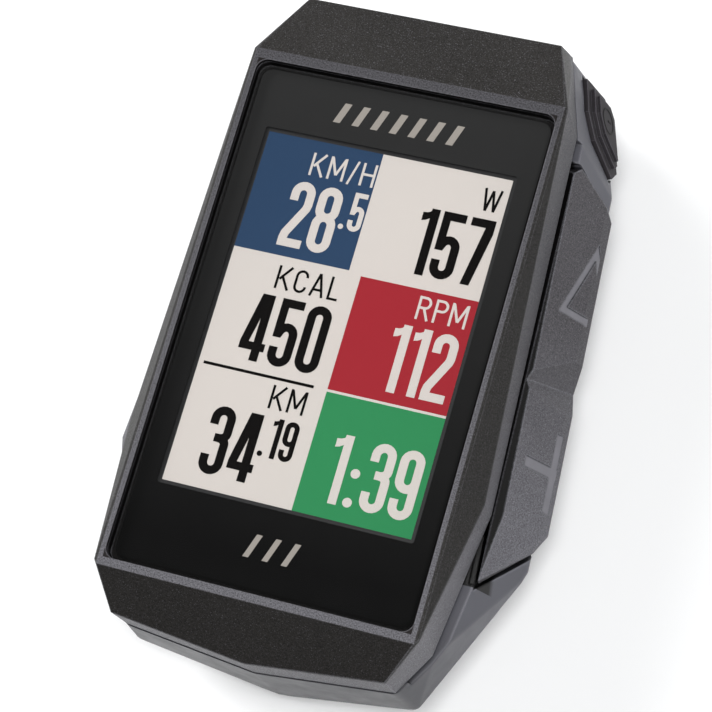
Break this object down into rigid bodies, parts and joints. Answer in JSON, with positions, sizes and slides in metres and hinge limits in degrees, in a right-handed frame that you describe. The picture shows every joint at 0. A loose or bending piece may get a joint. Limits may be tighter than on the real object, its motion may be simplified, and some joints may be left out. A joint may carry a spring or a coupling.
{
  "type": "cycling computer",
  "caption": "Handheld-sized cycling computer with a faceted case, colour display, two rocking side keys, a corner power button, a sealed charging socket and a quarter-turn mounting foot.",
  "frame": {"origin": "on the axis of the quarter-turn foot, at the foot's lowest face", "axes": "+X to the right of the display, +Y towards the top of the display, +Z out of the display"},
  "size_m": [0.0464, 0.0701, 0.0228],
  "materials": {
    "front_bezel": "satin, fine speckled texture",
    "front_frame": "satin, fine speckled texture",
    "rear_case": "smooth satin moulding",
    "case_seal": "matt silicone",
    "cover_lens": "polished, dark printed border",
    "lens_tape": "matt foam tape",
    "display_panel": "transflective, anti-glare",
    "backlight": "clear light guide",
    "display_carrier": "plain moulding",
    "display_flex": "polyimide film",
    "display_connector": "moulded",
    "main_board": "solder mask",
    "processor_chip": "moulded package",
    "memory_chip": "moulded package",
    "shield_can": "drawn tin-plated steel",
    "radio_module": "tin-plated can",
    "gnss_antenna": "fired ceramic",
    "pressure_sensor": "metal lid",
    "vent_membrane": "porous membrane",
    "buzzer": "plain disc",
    "battery": "laminated pouch foil",
    "battery_pad": "foam",
    "battery_leads": "insulated wire",
    "battery_plug": "moulded",
    "usb_connector": "plated steel",
    "usb_flap": "matt rubber",
    "usb_flap_anchor": "matt rubber",
    "right_key": "satin, fine speckled texture",
    "left_key": "satin, fine speckled texture",
    "right_key_pin": "ground pin",
    "left_key_pin": "ground pin",
    "right_key_membrane": "silicone",
    "left_key_membrane": "silicone",
    "right_side_board": "solder mask",
    "left_side_board": "solder mask",
    "side_switches": "stamped cover",
    "power_button": "matt rubber",
    "power_plunger": "plain moulding",
    "power_switch": "plain moulding",
    "twist_foot": "glass-filled nylon",
    "foot_screws": "pan head",
    "case_screws": "pan head",
    "board_screws": "pan head"
  },
  "bodies": {
    "case": {"front_bezel": "front_bezel", "front_frame": "front_frame", "rear_case": "rear_case", "case_seal": "case_seal", "cover_lens": "cover_lens", "lens_tape": "lens_tape", "display_panel": "display_panel", "backlight": "backlight", "display_carrier": "display_carrier", "display_flex": "display_flex", "display_connector": "display_connector", "main_board": "main_board", "processor_chip": "processor_chip", "memory_chip": "memory_chip", "shield_can": "shield_can", "radio_module": "radio_module", "gnss_antenna": "gnss_antenna", "pressure_sensor": "pressure_sensor", "vent_membrane": "vent_membrane", "buzzer": "buzzer", "battery": "battery", "battery_pad": "battery_pad", "battery_leads": "battery_leads", "battery_plug": "battery_plug", "usb_connector": "usb_connector", "usb_flap_anchor": "usb_flap_anchor", "right_key_pin": "right_key_pin", "left_key_pin": "left_key_pin", "right_key_membrane": "right_key_membrane", "left_key_membrane": "left_key_membrane", "right_side_board": "right_side_board", "left_side_board": "left_side_board", "side_switches": "side_switches", "power_switch": "power_switch", "twist_foot": "twist_foot", "foot_screws": "foot_screws", "case_screws": "case_screws", "board_screws": "board_screws"},
    "right_key": {"right_key": "right_key"},
    "left_key": {"left_key": "left_key"},
    "power_button": {"power_button": "power_button", "power_plunger": "power_plunger"},
    "usb_flap": {"usb_flap": "usb_flap"}
  },
  "joints": [
    {"name": "right_key_rock", "type": "hinge", "parent": "case", "child": "right_key", "pos_m": [0.0178, 0.00188, 0.0094], "axis": [0, 0, 1], "range_deg": [-0.9, 0.9]},
    {"name": "left_key_rock", "type": "hinge", "parent": "case", "child": "left_key", "pos_m": [-0.0178, 0.00188, 0.0094], "axis": [0, 0, 1], "range_deg": [-0.9, 0.9]},
    {"name": "power_press", "type": "slide", "parent": "case", "child": "power_button", "axis": [-0.912, -0.323, -0.253], "range_m": [0, 0.0005]},
    {"name": "usb_flap_hinge", "type": "hinge", "parent": "case", "child": "usb_flap", "pos_m": [0, 0.03635, 0.00735], "axis": [-1, 0, 0], "range_deg": [0, 135]}
  ]
}
